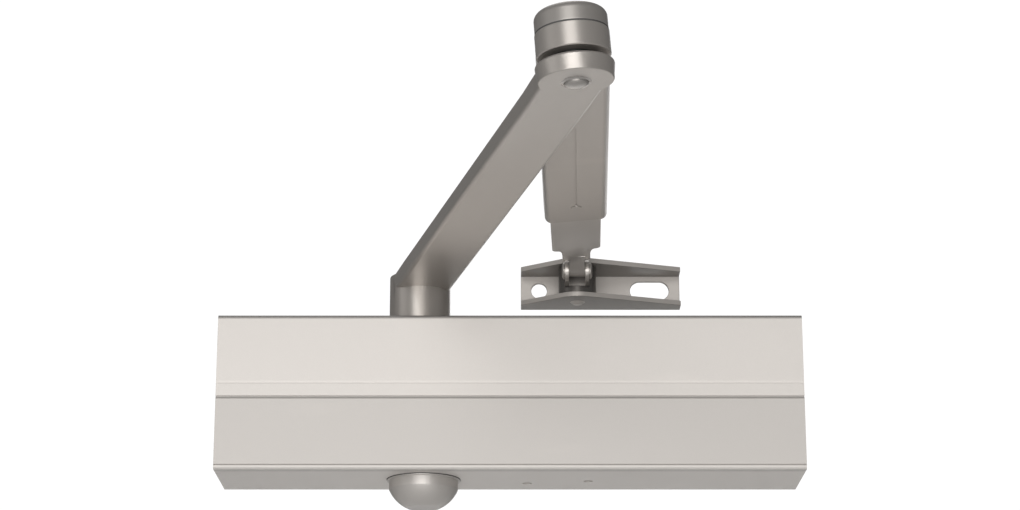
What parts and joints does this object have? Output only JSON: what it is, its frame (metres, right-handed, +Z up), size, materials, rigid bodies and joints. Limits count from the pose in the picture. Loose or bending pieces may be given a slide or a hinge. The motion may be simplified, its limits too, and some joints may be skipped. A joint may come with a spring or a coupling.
{
  "type": "scissor arm door closer",
  "caption": "Surface-mounted door closer with a slim metal cover, a spindle with a flat scissor arm, an adjustable forearm and a swivelling fixing shoe",
  "frame": {"origin": "centre of the rectangle of fixing holes in the back face of the casting, which lies on the door", "axes": "+X along the body, to the right as seen from the room; +Y into the door, away from the viewer; +Z up, towards the arms"},
  "size_m": [0.227, 0.274, 0.1138],
  "materials": {
    "cover_paint": "fine metallic silver-grey paint, satin",
    "arm_paint": "metallic silver-grey paint over forged and pressed steel, satin",
    "cast_metal": "die cast, fine grain",
    "plated_steel": "zinc plated, satin",
    "bright_steel": "ground and oiled",
    "spring_steel": "oiled spring wire",
    "brass": "turned",
    "seal_rubber": "matt black",
    "cap_plastic": "silver-grey moulding, satin"
  },
  "bodies": {
    "closer": {"closer_body": "cast_metal", "cover": "cover_paint", "end_plug_left": "plated_steel", "end_plug_right": "plated_steel", "plug_seals": "seal_rubber", "upper_gland": "plated_steel", "lower_gland": "plated_steel", "gland_seals": "seal_rubber", "upper_bearing": "bright_steel", "lower_bearing": "bright_steel", "upper_shaft_seal": "seal_rubber", "lower_shaft_seal": "seal_rubber", "spindle_cap": "cap_plastic", "main_spring": "spring_steel"},
    "spindle": {"pinion_shaft": "bright_steel", "main_arm": "arm_paint", "hub_washer": "plated_steel", "hub_screw": "plated_steel", "elbow_pin": "arm_paint", "elbow_spacer": "plated_steel"},
    "piston": {"piston": "bright_steel", "piston_seal": "seal_rubber", "check_valve_seat": "brass", "check_valve_ball": "bright_steel"},
    "spring_plate": {"spring_plate": "plated_steel"},
    "power_screw": {"power_screw": "plated_steel", "power_screw_seal": "seal_rubber"},
    "closing_valve": {"closing_valve": "brass", "closing_valve_seal": "seal_rubber"},
    "latching_valve": {"latching_valve": "brass", "latching_valve_seal": "seal_rubber"},
    "forearm": {"forearm_tube": "arm_paint", "elbow_bush": "brass", "elbow_cap": "arm_paint"},
    "clamp_screw": {"clamp_screw": "plated_steel"},
    "bar": {"forearm_bar": "arm_paint", "ear_rivet": "arm_paint"},
    "swivel": {"swivel_block": "arm_paint"},
    "shoe": {"shoe_bracket": "arm_paint", "shoe_pin": "arm_paint"}
  },
  "joints": [
    {"name": "pinion_turn", "type": "hinge", "parent": "closer", "child": "spindle", "pos_m": [-0.03578, -0.02, 0], "axis": [0, 0, 1], "range_deg": [0, 180], "stiffness_Nm_per_rad": 2, "springref_deg": -143.24},
    {"name": "piston_slide", "type": "slide", "parent": "closer", "child": "piston", "axis": [1, 0, 0], "range_m": [0, 0.0316], "deforming": ["main_spring"]},
    {"name": "power_adjust", "type": "hinge", "parent": "closer", "child": "power_screw", "pos_m": [0.098, -0.02, 0], "axis": [1, 0, 0], "range_deg": [0, 2410]},
    {"name": "plate_slide", "type": "slide", "parent": "closer", "child": "spring_plate", "axis": [1, 0, 0], "range_m": [-0.01, 0], "deforming": ["main_spring"]},
    {"name": "closing_valve_turn", "type": "hinge", "parent": "closer", "child": "closing_valve", "pos_m": [0.00672, -0.013, -0.024], "axis": [0, 0, 1], "range_deg": [-180, 360]},
    {"name": "latching_valve_turn", "type": "hinge", "parent": "closer", "child": "latching_valve", "pos_m": [0.03062, -0.017, -0.024], "axis": [0, 0, 1], "range_deg": [-180, 360]},
    {"name": "elbow_swing", "type": "hinge", "parent": "spindle", "child": "forearm", "pos_m": [0.02, -0.26164, 0.04695], "axis": [-0.0784, 0.0023, 0.9969], "range_deg": [-150, 5]},
    {"name": "forearm_adjust", "type": "slide", "parent": "forearm", "child": "bar", "axis": [0.0299, 0.9996, 0], "range_m": [-0.03, 0.045]},
    {"name": "clamp_screw_turn", "type": "hinge", "parent": "forearm", "child": "clamp_screw", "pos_m": [0.02355, -0.10868, 0.05991], "axis": [-0.0784, 0.0023, 0.9969], "range_deg": [0, 720]},
    {"name": "yoke_tilt", "type": "hinge", "parent": "bar", "child": "swivel", "pos_m": [0.02659, -0.02799, 0.052], "axis": [0.9996, -0.0299, 0], "range_deg": [-12, 12]},
    {"name": "shoe_swivel", "type": "hinge", "parent": "swivel", "child": "shoe", "pos_m": [0.02702, -0.0136, 0.0511], "axis": [0, 0, 1], "range_deg": [-55, 55]}
  ],
  "couplings": [
    {"joint": "piston_slide", "follows": "pinion_turn", "m_per_rad": 0.01},
    {"joint": "power_adjust", "follows": "plate_slide", "rad_per_m": -4188.8}
  ]
}
